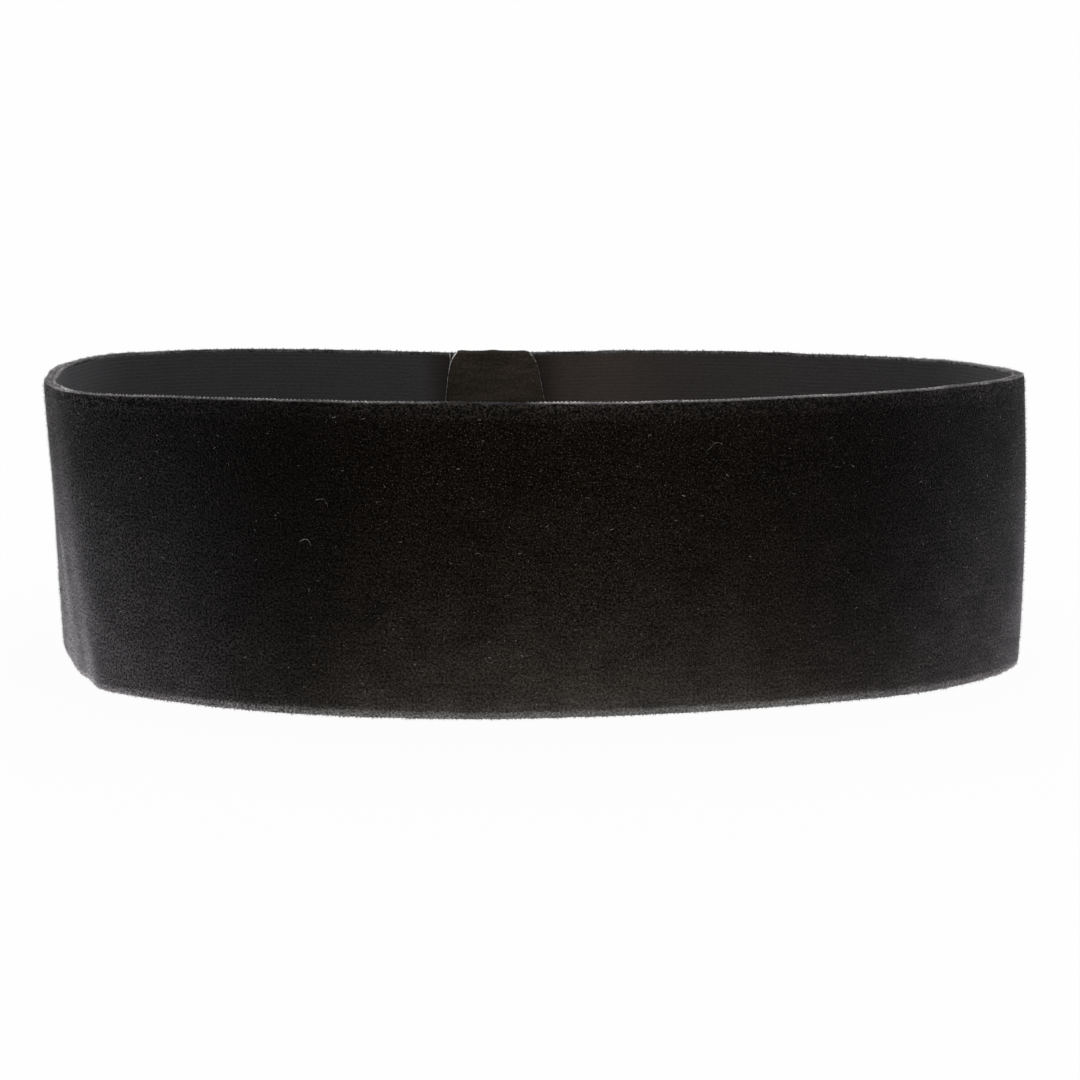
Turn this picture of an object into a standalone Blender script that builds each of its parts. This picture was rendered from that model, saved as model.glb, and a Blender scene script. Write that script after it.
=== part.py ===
"""A wide stretch headband: a velvet-faced elastic strip, sewn into a loop and wrapped at its join.

Metres, +Z up. The loop stands on its bottom rim with its join at the back, at +Y. The origin is the
middle of the loop's outline, at the height of the bottom rim. The strip is made in five stretches, so
that the back of the loop can slide away from its front as the elastic gives.
"""

import bmesh
import bpy
import numpy as np
from mathutils import Vector

MM = 0.001

# Driving dimensions of the strip: its layers lie one behind the other, from the outside in
HEIGHT = 60 * MM
PILE_THICKNESS = 1.1 * MM
STRAND_DIAMETER = 0.5 * MM
WEAVE_THICKNESS = 0.6 * MM
LAYER_GAP = 0.12 * MM
STRETCH_GAP = 0.3 * MM
STRAND_COUNT = 8

# Driving dimensions of the join
WRAP_WIDTH_AT_RIM = 18 * MM
WRAP_WIDTH_AT_MIDDLE = 25 * MM
WRAP_THICKNESS = 0.5 * MM
WRAP_CLEARANCE = 0.5 * MM
WRAP_RIM_CLEARANCE = 0.1 * MM
WRAP_RISE = 0.5 * MM
WRAP_CORNER_RADIUS = 0.9 * MM
WRAP_SEAM_HEIGHT = 17 * MM
WRAP_SEAM_GAP = 0.5 * MM
THREAD_DIAMETER = 0.25 * MM
ZIGZAG_WIDTH = 3 * MM
ZIGZAG_STEP = 4 * MM
ZIGZAG_MARGIN = 4 * MM
POINTS_A_SWING = 3

# How far the wrap's pull on the rims reaches along the strip: in full, half of it, and in all. The wrap
# stands out above the top rim, and the bottom rim is pulled in by all of its thickness
PINCH_FULL = 11 * MM
PINCH_HALF = 15 * MM
PINCH_END = 34 * MM

# The outside face in millimetres, seen from above, anticlockwise from the join: x and y at the top rim,
# how far the bottom rim stands in from there, and how far the middle stands in between the two rims
OUTLINE = [
    (-10.5, 38.2, -0.3, 0),
    (-45, 44, -0.6, 0.1),
    (-72.5, 45.2, -0.8, 0.3),
    (-95.3, 34.4, -2.2, 0.5),
    (-102.1, 11.8, -1, -0.6),
    (-100.2, -12.8, 3.5, -0.4),
    (-96.7, -26.9, 5.7, -0.7),
    (-86.6, -39.9, 4.4, 0.5),
    (-54, -52, 1.1, 0.1),
    (-17.5, -57.5, 0.6, 0),
    (17.5, -57, 2.9, -0.1),
    (53.5, -46.5, 1.3, -0.2),
    (81.3, -30.7, -1.4, -0.4),
    (99.1, -8.1, -0.9, -0.8),
    (89, 19.9, -2.2, -0.2),
    (59.5, 35.5, -0.5, -0.2),
    (26.5, 42.9, -0.3, -0.1),
]

# Where each stretch of the strip starts and ends, as shares of the way round from the join
STRETCHES = {
    "back_left": (0.0, 0.18),
    "left": (0.18, 0.37),
    "front": (0.37, 0.69),
    "right": (0.69, 0.86),
    "back_right": (0.86, 1.0),
}

# A layer has this many rows of points, and a column for each of these lengths, turns and pulls of the wrap
STRIP_ROWS = 5
STATION_LENGTH = 14 * MM
STATION_TURN = np.radians(10)
STATION_PULL = 0.15 * MM
STEPS_BETWEEN_POINTS = 40

STRIP_THICKNESS = PILE_THICKNESS + STRAND_DIAMETER + WEAVE_THICKNESS + 2 * LAYER_GAP
WEAVE_DEPTH = STRIP_THICKNESS - WEAVE_THICKNESS
STRAND_DEPTH = PILE_THICKNESS + LAYER_GAP + STRAND_DIAMETER / 2
PINCH_AT_BOTTOM = WRAP_THICKNESS + WRAP_RIM_CLEARANCE
PINCH_AT_TOP = PINCH_AT_BOTTOM - WRAP_RISE


def smooth_step(value):
    share = np.clip(value, 0, 1)
    return share * share * (3 - 2 * share)


def catmull_rom(points, steps):
    """Return a smooth closed polyline through the points, with this many steps between neighbours."""
    before, end, after = (np.roll(points, shift, axis=0) for shift in (1, -1, -2))
    rows = []
    for t in np.arange(steps) / steps:
        pull = end - before
        bend = 2 * before - 5 * points + 4 * end - after
        swing = 3 * points - before - 3 * end + after
        rows.append(points + 0.5 * t * (pull + t * (bend + t * swing)))
    return np.stack(rows, axis=1).reshape(-1, points.shape[1])


class Outline:
    """The closed line that the strip follows, read by the distance from the join."""

    def __init__(self, points):
        table = catmull_rom(np.array(points) * MM, STEPS_BETWEEN_POINTS)
        line = table[:, :2]
        ahead = np.roll(line, -1, axis=0) - np.roll(line, 1, axis=0)
        outward = np.stack([ahead[:, 1], -ahead[:, 0]], axis=1)
        outward /= np.linalg.norm(outward, axis=1)[:, None]
        both_rims = np.vstack([line, line - table[:, 2:3] * outward])
        line -= (both_rims.min(axis=0) + both_rims.max(axis=0)) / 2
        self.line = np.vstack([line, line[:1]])
        self.outward = np.vstack([outward, outward[:1]])
        self.insets = np.vstack([table[:, 2:], table[:1, 2:]])
        steps = np.hypot(*np.diff(self.line, axis=0).T)
        self.distance = np.concatenate([[0], np.cumsum(steps)])
        self.length = self.distance[-1]
        turns = np.diff(np.unwrap(np.arctan2(self.outward[:, 1], self.outward[:, 0])))
        pulls = np.diff(self.rims(self.distance)[0])
        spent = np.abs(turns) / STATION_TURN + steps / STATION_LENGTH + np.abs(pulls) / STATION_PULL
        self.stations = np.concatenate([[0], np.cumsum(spent)])

    def read(self, table, distance):
        around = distance % self.length
        return np.array([np.interp(around, self.distance, column) for column in table.T])

    def at(self, distance):
        """Return the point and the outward direction at this distance from the join."""
        out = self.read(self.outward, distance)
        return self.read(self.line, distance), out / np.hypot(*out)

    def inset(self, distance, height):
        """Return how far the outside face stands in at this distance and height."""
        at_bottom, at_middle = self.read(self.insets, distance)
        share = height / HEIGHT
        return at_bottom * (1 - share) + at_middle * 4 * share * (1 - share)

    def rims(self, distance):
        """Return the heights of the bottom and top rims, which the wrap pulls in near the join."""
        from_join = np.minimum(distance, self.length - distance)
        near = smooth_step((PINCH_HALF - from_join) / (PINCH_HALF - PINCH_FULL))
        far = smooth_step((PINCH_END - from_join) / (PINCH_END - PINCH_FULL))
        pull = (near + far) / 2
        return PINCH_AT_BOTTOM * pull, HEIGHT - PINCH_AT_TOP * pull

    def between(self, start, end):
        """Return distances from start to end, closer together where the line or a rim turns more."""
        first, last = np.interp([start, end], self.distance, self.stations)
        inner = np.arange(np.ceil(first + 0.3), last - 0.3)
        return [start, *np.interp(inner, self.stations, self.distance), end]


PATH = Outline(OUTLINE)


def wall_point(distance, height, depth):
    """Return the point this deep inside the outside face, leaning as the strip leans."""
    point, out = PATH.at(distance)
    x, y = point - (depth + PATH.inset(distance, height)) * out
    return Vector((x, y, height))


def material(name, colour, roughness):
    made = bpy.data.materials.new(name)
    made.use_nodes = True
    made.diffuse_color = (*colour, 1)
    shader = made.node_tree.nodes["Principled BSDF"]
    shader.inputs["Base Color"].default_value = (*colour, 1)
    shader.inputs["Roughness"].default_value = roughness
    shader.inputs["Metallic"].default_value = 0
    return made


def add_object(name, data, finish, collection):
    made = bpy.data.objects.new(name, data)
    made.data.materials.append(finish)
    collection.objects.link(made)
    return made


def sheet(name, columns, rows, thickness, place, finish, collection):
    """Make a sheet of this thickness whose middle passes through place(column, row)."""
    mesh = bpy.data.meshes.new(name)
    grid = bmesh.new()
    made = bmesh.ops.create_grid(grid, x_segments=columns - 1, y_segments=rows - 1, size=1)
    for vertex in made["verts"]:
        column = round((vertex.co.x + 1) / 2 * (columns - 1))
        row = round((vertex.co.y + 1) / 2 * (rows - 1))
        vertex.co = place(column, row)
    grid.to_mesh(mesh)
    grid.free()
    part = add_object(name, mesh, finish, collection)
    solidify = part.modifiers.new("Thickness", "SOLIDIFY")
    solidify.thickness = thickness
    solidify.offset = 0
    solidify.use_even_offset = True
    return part


def strip_layer(name, shares, depth, thickness, finish, collection):
    """Make one layer of the strip, from rim to rim, over this share of the way round."""
    start = shares[0] * PATH.length + STRETCH_GAP / 2
    end = shares[1] * PATH.length - STRETCH_GAP / 2
    distances = PATH.between(start, end)

    def place(column, row):
        height = np.linspace(*PATH.rims(distances[column]), STRIP_ROWS)[row]
        return wall_point(distances[column], height, depth + thickness / 2)

    return sheet(name, len(distances), STRIP_ROWS, thickness, place, finish, collection)


def wire(name, points, diameter, finish, collection):
    """Make a round wire with closed ends through the points."""
    curve = bpy.data.curves.new(name, "CURVE")
    curve.dimensions = "3D"
    curve.bevel_depth = diameter / 2
    curve.bevel_resolution = 1
    curve.use_fill_caps = True
    spline = curve.splines.new("POLY")
    spline.points.add(len(points) - 1)
    for place, point in zip(spline.points, points):
        place.co = (*point, 1)
    return add_object(name, curve, finish, collection)


def strand(name, share, finish, collection):
    """Make one strand, at this share of the height, round the loop from the join back to the join."""
    points = []
    for distance in PATH.between(STRETCH_GAP, PATH.length - STRETCH_GAP):
        low, high = PATH.rims(distance)
        points.append(wall_point(distance, low + share * (high - low), STRAND_DEPTH))
    return wire(name, points, STRAND_DIAMETER, finish, collection)


def wrap_section():
    """Return (height, depth) points round the strip, from just above the wrap's seam to just below it."""
    near = -(WRAP_CLEARANCE + WRAP_THICKNESS / 2)
    far = STRIP_THICKNESS + WRAP_CLEARANCE + WRAP_THICKNESS / 2
    low, high = WRAP_THICKNESS / 2, HEIGHT + WRAP_RISE - WRAP_THICKNESS / 2
    radius = WRAP_CORNER_RADIUS
    corners = [
        (high - radius, far - radius, 0),
        (high - radius, near + radius, 90),
        (low + radius, near + radius, 180),
        (low + radius, far - radius, 270),
    ]
    section = [(WRAP_SEAM_HEIGHT + WRAP_SEAM_GAP / 2, far), (HEIGHT / 2, far)]
    for height, depth, first in corners:
        for angle in np.radians(np.linspace(first, first + 90, 4)):
            section.append((height + radius * np.sin(angle), depth + radius * np.cos(angle)))
        if first == 90:
            section += [(height, near) for height in np.linspace(high, low, 8)[1:-1]]
    section.append((WRAP_SEAM_HEIGHT - WRAP_SEAM_GAP / 2, far))
    return section


def wrap_half_width(height):
    """Return half the wrap's width at this height: it is gathered at the rims."""
    fullness = np.sin(np.pi * np.clip(height / HEIGHT, 0, 1))
    return (WRAP_WIDTH_AT_RIM + (WRAP_WIDTH_AT_MIDDLE - WRAP_WIDTH_AT_RIM) * fullness) / 2


def join_wrap(name, finish, collection):
    section = wrap_section()
    across = np.linspace(-1, 1, 5)

    def place(column, row):
        height, depth = section[column]
        return wall_point(across[row] * wrap_half_width(height), height, depth)

    return sheet(name, len(section), len(across), WRAP_THICKNESS, place, finish, collection)


def zigzag(name, start, end, place, finish, collection):
    """Make a thread that swings to and fro as it goes, through place(way along, swing aside)."""
    swings = round((end - start) / ZIGZAG_STEP)
    points = []
    for step in range(POINTS_A_SWING * swings + 1):
        along = start + (end - start) * step / (POINTS_A_SWING * swings)
        aside = ZIGZAG_WIDTH / 2 * np.sin(np.pi * step / POINTS_A_SWING)
        points.append(place(along, aside))
    return wire(name, points, THREAD_DIAMETER, finish, collection)


def join_thread(name, depth, finish, collection):
    """Make the thread that ties the strip's two ends together on one of its faces."""
    low, high = PINCH_AT_BOTTOM + ZIGZAG_MARGIN, HEIGHT - PINCH_AT_TOP - ZIGZAG_MARGIN
    return zigzag(name, low, high, lambda up, aside: wall_point(aside, up, depth), finish, collection)


def wrap_seam_thread(name, finish, collection):
    """Make the thread that closes the wrap, on its inside face."""
    depth = STRIP_THICKNESS + WRAP_CLEARANCE + WRAP_THICKNESS + LAYER_GAP + THREAD_DIAMETER / 2
    reach = wrap_half_width(WRAP_SEAM_HEIGHT) - ZIGZAG_MARGIN / 2

    def place(along, aside):
        return wall_point(along, WRAP_SEAM_HEIGHT + aside, depth)

    return zigzag(name, -reach, reach, place, finish, collection)


def clear_scene():
    for old in list(bpy.data.objects):
        bpy.data.objects.remove(old, do_unlink=True)


def build():
    clear_scene()
    parts = bpy.data.collections.new("velvet_headband")
    bpy.context.scene.collection.children.link(parts)
    velvet = material("Black velvet", (0.012, 0.011, 0.011), 0.95)
    weave = material("Charcoal elastic weave", (0.035, 0.034, 0.037), 0.8)
    rubber = material("Black rubber", (0.02, 0.02, 0.02), 0.6)
    thread = material("Black thread", (0.02, 0.02, 0.021), 0.7)

    for stretch, shares in STRETCHES.items():
        strip_layer(f"pile_face_{stretch}", shares, 0, PILE_THICKNESS, velvet, parts)
        strip_layer(f"elastic_weave_{stretch}", shares, WEAVE_DEPTH, WEAVE_THICKNESS, weave, parts)

    edge = STRAND_DIAMETER / HEIGHT
    strand("bottom_selvedge", edge, weave, parts)
    strand("top_selvedge", 1 - edge, weave, parts)
    for number in range(1, STRAND_COUNT + 1):
        strand(f"rubber_strand_{number}", number / (STRAND_COUNT + 1), rubber, parts)

    beside = LAYER_GAP + THREAD_DIAMETER / 2
    join_thread("join_needle_thread", -beside, thread, parts)
    join_thread("join_bobbin_thread", STRIP_THICKNESS + beside, thread, parts)
    join_wrap("join_wrap", velvet, parts)
    wrap_seam_thread("wrap_seam_thread", thread, parts)


build()
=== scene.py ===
"""The looks of the velvet stretch headband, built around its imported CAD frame. Metres, +Z up.

The strip is described in cloth coordinates: the distance along it from the join, the height over the
bottom rim, and the depth inside its outside face. Every mesh keeps them in an attribute, so that grain
and fibres belong to the cloth and move with it.
"""

from collections import namedtuple

import bpy
import numpy as np
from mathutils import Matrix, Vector, noise


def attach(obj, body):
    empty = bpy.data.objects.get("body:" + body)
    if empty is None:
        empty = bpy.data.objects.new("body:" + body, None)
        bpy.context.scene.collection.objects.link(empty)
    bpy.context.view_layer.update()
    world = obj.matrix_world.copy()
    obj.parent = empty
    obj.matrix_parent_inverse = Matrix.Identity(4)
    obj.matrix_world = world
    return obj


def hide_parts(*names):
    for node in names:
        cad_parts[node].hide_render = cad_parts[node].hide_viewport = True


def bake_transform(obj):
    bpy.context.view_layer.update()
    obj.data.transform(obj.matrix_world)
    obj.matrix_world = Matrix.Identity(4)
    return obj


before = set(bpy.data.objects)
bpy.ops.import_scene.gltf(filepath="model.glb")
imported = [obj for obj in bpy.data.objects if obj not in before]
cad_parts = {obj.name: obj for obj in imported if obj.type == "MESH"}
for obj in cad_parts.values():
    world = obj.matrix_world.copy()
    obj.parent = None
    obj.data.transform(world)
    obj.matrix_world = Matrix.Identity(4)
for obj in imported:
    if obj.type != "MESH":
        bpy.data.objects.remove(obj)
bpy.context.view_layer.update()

MM = 0.001

# The strip as the CAD has it: its layers from the outside in, and the line it follows from the join
HEIGHT = 60 * MM
PILE_THICKNESS = 1.1 * MM
WEAVE_THICKNESS = 0.6 * MM
STRIP_THICKNESS = 2.44 * MM
STRAND_DEPTH = 1.47 * MM
STRAND_DIAMETER = 0.5 * MM
STRAND_COUNT = 8
PINCH_AT_BOTTOM = 0.6 * MM
PINCH_AT_TOP = 0.1 * MM
PINCH_FULL = 11 * MM
PINCH_HALF = 15 * MM
PINCH_END = 34 * MM
JOIN_GAP = 0.3 * MM
STEPS_BETWEEN_POINTS = 40

# The outside face in millimetres, seen from above, anticlockwise from the join: x and y at the top rim,
# how far the bottom rim stands in from there, and how far the middle stands in between the two rims
OUTLINE = [
    (-10.5, 38.2, -0.3, 0),
    (-45, 44, -0.6, 0.1),
    (-72.5, 45.2, -0.8, 0.3),
    (-95.3, 34.4, -2.2, 0.5),
    (-102.1, 11.8, -1, -0.6),
    (-100.2, -12.8, 3.5, -0.4),
    (-96.7, -26.9, 5.7, -0.7),
    (-86.6, -39.9, 4.4, 0.5),
    (-54, -52, 1.1, 0.1),
    (-17.5, -57.5, 0.6, 0),
    (17.5, -57, 2.9, -0.1),
    (53.5, -46.5, 1.3, -0.2),
    (81.3, -30.7, -1.4, -0.4),
    (99.1, -8.1, -0.9, -0.8),
    (89, 19.9, -2.2, -0.2),
    (59.5, 35.5, -0.5, -0.2),
    (26.5, 42.9, -0.3, -0.1),
]
STRETCHES = ["back_left", "left", "front", "right", "back_right"]

# The pile's edges roll in over the rims, and the edge cords, twisted from two plies, lie behind them
RIM_ROLL_DEPTH = 1.8 * MM
RIM_ROLL_CORNER = 0.55 * MM
RIM_ROLL_HEIGHT = 1.8 * MM
CORD_DEPTH = 2.08 * MM
CORD_SINK = 0.22 * MM
CORD_PITCH = 1.6 * MM
CORD_PLIES = 2
CORD_PLY_OFFSET = 0.21 * MM
CORD_PLY_RADIUS = 0.14 * MM

# The top rim sags at the front's left corner: how far round that is, how deep and how wide
SAG_SHARE = 0.33
SAG_DEPTH = 0.4 * MM
SAG_WIDTH = 14 * MM

# The ribbed backing
RIB_PITCH = 0.85 * MM
RIB_RELIEF = 0.2 * MM
WEAVE_SINK = 0.55 * MM

# The ribbon round the join
WRAP_WIDTH_AT_RIM = 18 * MM
WRAP_WIDTH_AT_MIDDLE = 24 * MM
WRAP_GATHER = 1.3 * MM
WRAP_GATHER_REACH = 1.2 * MM
WRAP_LEAN = 0.75 * MM
WRAP_THICKNESS = 0.5 * MM
WRAP_CLEARANCE = 0.5 * MM
WRAP_RISE = 0.5 * MM
WRAP_CORNER_RADIUS = 0.9 * MM
WRAP_SEAM_HEIGHT = 17 * MM
WRAP_SEAM_GAP = 0.5 * MM
WRAP_EDGE_RADIUS = 0.28 * MM

# Its mesh: how many columns it has, from which place across its edges are rounded, and what share of the
# thickness is left at the very edge
WRAP_COLUMNS = 49
WRAP_ROUNDED = 0.95
WRAP_EDGE_LEFT = 0.2

# Its folds, with places across it from -1 to 1: pleats and drooping edges near the rims, curled edges
# between them, and a dent, at this place and height, where it turns over the top rim
GATHER_DEPTH = 0.1 * MM
GATHER_REACH = 14 * MM
PLEATS_PER_HALF = 1.1
PLEAT_SHIFT = 0.2
PLEAT_SWAY = 0.5
PLEAT_SWAY_PACE = 7
DROOP = 0.2 * MM
DROOP_START = 0.4
CURL = 0.28 * MM
CURL_START = 0.86
DENT_DEPTH = 0.35 * MM
DENT_PLACE = (0.25, 58.6 * MM)
DENT_SIZE = (0.3, 0.5 * MM)

# The strand that leaves the ribbon's edge below the top rim, on the inside
FRAY_HEIGHT = 57.6 * MM
FRAY_RISE = 2.1 * MM
FRAY_DRIFT = 0.2 * MM
FRAY_LIFT = 0.5 * MM

# The stitches that close the ribbon
STITCH_LEGS = 9
STITCH_SWING = 1.5 * MM
STITCH_MARGIN = 2 * MM
STITCH_ARCH = 0.18 * MM
STITCH_DIP = 0.8
STITCH_LIFT = 0.1 * MM
STITCH_RADIUS = 0.13 * MM

# Soft bumps of the cloth: how high they are (on the ribs, as a share of their height), how wide, and the
# place of their noise. The bottom rim waves by this share of the top rim's waves
Bumps = namedtuple("Bumps", "amount size seed")
RIM_WAVE = Bumps(0.12 * MM, 7 * MM, 3.3)
PILE_SWELL = Bumps(0.1 * MM, 13 * MM, 1.7)
PILE_DIMPLES = Bumps(0.05 * MM, 1.3 * MM, 8.1)
RIM_LUMPS = Bumps(0.13 * MM, 1.3 * MM, 4.4)
RIB_UNEVENNESS = Bumps(0.5, 2.2 * MM, 5.5)
WRAP_RIPPLE = Bumps(0.1 * MM, 7 * MM, 2.2)
BOTTOM_WAVE_SHARE = 0.3

# How finely the meshes are cut: steps along the strip, rows of the sections, and sides of the round pieces
PILE_STEP = 0.7 * MM
BACKING_STEP = 1.5 * MM
STRAND_STEP = 2 * MM
PILE_ROWS = 84
HIDDEN_ROWS = 6
TURN_ROWS = 5
CORD_SIDES = 5
STRAND_SIDES = 6
LINT_SIDES = 4
STITCH_SIDES = 8

# Fibres that stand out of the pile, with more of them round the loop's two turns. Shares are of the way
# round, and of the strip's height
PILE_FIBRES = 48000
PILE_FIBRE_SHARES = (0.002, 0.998)
PILE_FIBRE_HEIGHTS = (0.01, 0.99)
PILE_FIBRE_RADIUS = 0.03 * MM
PILE_FIBRE_LENGTH_MM = (0.3, 0.75)
PILE_FIBRE_DEPTH = 0.1 * MM
PILE_FIBRE_LEAN = (0.2, -1.3)
TURN_SHARES = [0.265, 0.735]
TURN_SPREAD = 0.045
SHARE_AT_TURNS = 0.6

# Fibres along each rolled rim, in tufts, at places across the roll from 0 to 1. Their roots lie on the roll,
# which stays flat at first and then drops
RIM_FIBRES = 24000
RIM_FIBRE_RADIUS = 0.034 * MM
RIM_FIBRE_LENGTH_MM = (0.15, 0.5)
RIM_FIBRE_PLACES = (0.05, 0.8)
RIM_FIBRE_LEAN = 1.2
ROOT_SINK = 0.08 * MM
ROLL_DROP = 0.9 * MM
ROLL_FLAT = 0.2
RIM_TUFT_PITCH = 0.8 * MM
RIM_TUFT_SPREAD = 0.17 * MM
RIM_TUFT_SIZE = (0.5, 1.35)

# How much all of them scatter about the way they lean
FIBRE_SCATTER = 0.6

# Lint on the pile, short strokes and a few curled hairs: how many of each, between which lengths, how far
# they bend at most in radians, and how many points draw them
Lint = namedtuple("Lint", "count length_mm bend points")
LINT_KINDS = [Lint(1000, (0.15, 0.7), 1, 4), Lint(12, (3, 4.5), 4, 14)]
LINT_SHARES = (0.04, 0.96)
LINT_HEIGHTS = (0.02, 0.96)
LINT_RADIUS = 0.03 * MM
LINT_LIFT = 0.22 * MM
LINT_DIP = 0.08 * MM
LINT_KINK = 0.35


def smooth_step(value):
    """Return the value held to 0 to 1, with both ends eased."""
    share = np.clip(value, 0, 1)
    return share * share * (3 - 2 * share)


def catmull_rom(points, steps):
    """Return a smooth closed polyline through the points, with this many steps between neighbours."""
    before, end, after = (np.roll(points, shift, axis=0) for shift in (1, -1, -2))
    rows = []
    for t in np.arange(steps) / steps:
        pull = end - before
        bend = 2 * before - 5 * points + 4 * end - after
        swing = 3 * points - before - 3 * end + after
        rows.append(points + 0.5 * t * (pull + t * (bend + t * swing)))
    return np.stack(rows, axis=1).reshape(-1, points.shape[1])


class Strip:
    """The closed line that the strip follows, read by the distance from the join."""

    def __init__(self, points):
        table = catmull_rom(np.array(points) * MM, STEPS_BETWEEN_POINTS)
        line = table[:, :2]
        ahead = np.roll(line, -1, axis=0) - np.roll(line, 1, axis=0)
        outward = np.stack([ahead[:, 1], -ahead[:, 0]], axis=1)
        outward /= np.linalg.norm(outward, axis=1)[:, None]
        both_rims = np.vstack([line, line - table[:, 2:3] * outward])
        line -= (both_rims.min(axis=0) + both_rims.max(axis=0)) / 2
        columns = np.hstack([line, outward, table[:, 2:]])
        self.columns = np.vstack([columns, columns[:1]]).T
        steps = np.hypot(*np.diff(self.columns[:2]))
        self.distance = np.concatenate([[0], np.cumsum(steps)])
        self.length = self.distance[-1]

    def place(self, distance, height, depth):
        """Return the points at these cloth coordinates, with an array of three numbers for each."""
        around = np.asarray(distance) % self.length
        columns = [np.interp(around, self.distance, column) for column in self.columns]
        x, y, out_x, out_y, at_bottom, at_middle = columns
        share = height / HEIGHT
        inset = depth + at_bottom * (1 - share) + at_middle * 4 * share * (1 - share)
        spots = np.broadcast_arrays(x - inset * out_x, y - inset * out_y, height)
        return np.stack(spots, axis=-1)

    def rims(self, distance):
        """Return the heights of the bottom and top rims, which the wrap pulls in near the join."""
        around = np.asarray(distance) % self.length
        from_join = np.minimum(around, self.length - around)
        near = smooth_step((PINCH_HALF - from_join) / (PINCH_HALF - PINCH_FULL))
        far = smooth_step((PINCH_END - from_join) / (PINCH_END - PINCH_FULL))
        pull = (near + far) / 2
        return PINCH_AT_BOTTOM * pull, HEIGHT - PINCH_AT_TOP * pull

    def along(self, step):
        """Return distances from one end of the strip to the other, about this far apart."""
        count = round(self.length / step)
        return np.linspace(JOIN_GAP / 2, self.length - JOIN_GAP / 2, count + 1)


strip = Strip(OUTLINE)
chance = np.random.default_rng(7)


def bumps(distance, height, kind):
    """Return smooth bumps of this kind, about 0, for arrays of cloth coordinates."""
    spread = np.broadcast_arrays(distance, height)
    flat = zip(*(np.ravel(values) / kind.size for values in spread))
    values = [noise.noise(Vector((a, b, kind.seed))) for a, b in flat]
    return kind.amount * np.reshape(values, spread[0].shape)


def add_mesh(name, points, faces, cloth, finish):
    """Make an object from points, faces and the points' cloth coordinates, shaded smooth."""
    mesh = bpy.data.meshes.new(name)
    mesh.from_pydata(points.tolist(), [], faces)
    mesh.polygons.foreach_set("use_smooth", np.ones(len(faces), bool))
    attribute = mesh.attributes.new("cloth", "FLOAT_VECTOR", "POINT")
    attribute.data.foreach_set("vector", cloth.astype(np.float32).ravel())
    mesh.materials.append(finish)
    made = bpy.data.objects.new(name, mesh)
    bpy.context.scene.collection.objects.link(made)
    return made


def tube_faces(rings, around, first=0):
    """Return the faces of a closed skin over rings of this many points: quads, and a face at each end."""
    index = np.arange(rings * around).reshape(rings, around) + first
    beside = np.roll(index, -1, axis=1)
    quads = np.stack([index[:-1], index[1:], beside[1:], beside[:-1]], axis=-1)
    return [*quads.reshape(-1, 4).tolist(), index[0].tolist(), index[-1][::-1].tolist()]


def strip_skin(name, distances, section, finish):
    """Sweep a closed section along the strip: section(distances) gives its heights and depths."""
    height, depth = section(distances[:, None])
    distance = np.broadcast_to(distances[:, None], height.shape)
    points = strip.place(distance, height, depth).reshape(-1, 3)
    cloth = np.stack([distance, height, depth], axis=-1).reshape(-1, 3)
    faces = tube_faces(*height.shape)
    return add_mesh(name, points, faces, cloth, finish)


def arc(first, last, count):
    """Return cosines and sines at angles in degrees, evenly from first to last."""
    angles = np.radians(np.linspace(first, last, count))
    return np.cos(angles), np.sin(angles)


def tubes(name, lines, radius, sides, finish):
    """Make closed round tubes along lines of cloth coordinates."""
    out, up = (values[:-1] for values in arc(0, 360, sides + 1))
    cloth, faces, made = [], [], 0
    for line in lines:
        distance, height, depth = (values[:, None] for values in line.T)
        rings = [distance + 0 * out, height + radius * up, depth + radius * out]
        faces += tube_faces(len(line), sides, first=made)
        made += len(line) * sides
        cloth.append(np.stack(rings, axis=-1).reshape(-1, 3))
    cloth = np.vstack(cloth)
    return add_mesh(name, strip.place(*cloth.T), faces, cloth, finish)


def twisted(centre, radius, pitch, plies, steps=8):
    """Return one line for each ply of a cord twisted about centre(distances), at this radius."""
    distances = strip.along(pitch / steps)
    height, depth = centre(distances)
    lines = []
    for ply in range(plies):
        angle = 2 * np.pi * (distances / pitch + ply / plies)
        ply_height = height + radius * np.sin(angle)
        ply_depth = depth + radius * np.cos(angle)
        lines.append(np.stack([distances, ply_height, ply_depth], axis=-1))
    return lines


def spikes(name, roots, tips, radius, finish):
    """Make fibres, each a thin closed spike from a root to a tip in cloth coordinates."""
    start, end = strip.place(*roots.T), strip.place(*tips.T)
    along = end - start
    along /= np.linalg.norm(along, axis=1)[:, None]
    aside = np.cross(along, chance.normal(size=along.shape))
    aside /= np.linalg.norm(aside, axis=1)[:, None]
    across = np.cross(along, aside)
    cos, sin = arc(0, 240, 3)
    feet = [start + radius * (c * aside + s * across) for c, s in zip(cos, sin)]
    points = np.stack([*feet, end], axis=1).reshape(-1, 3)
    cloth = np.repeat(roots, 4, axis=0)
    corners = np.array([(0, 2, 1), (0, 1, 3), (1, 2, 3), (2, 0, 3)])
    faces = (4 * np.arange(len(roots))[:, None, None] + corners).reshape(-1, 3)
    return add_mesh(name, points, faces.tolist(), cloth, finish)


def follow_strip(piece, slot, *nodes):
    """Bake a piece of the strip into place, and hide these CAD nodes, which it takes the place of."""
    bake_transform(piece)
    if nodes:
        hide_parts(*nodes)
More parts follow.
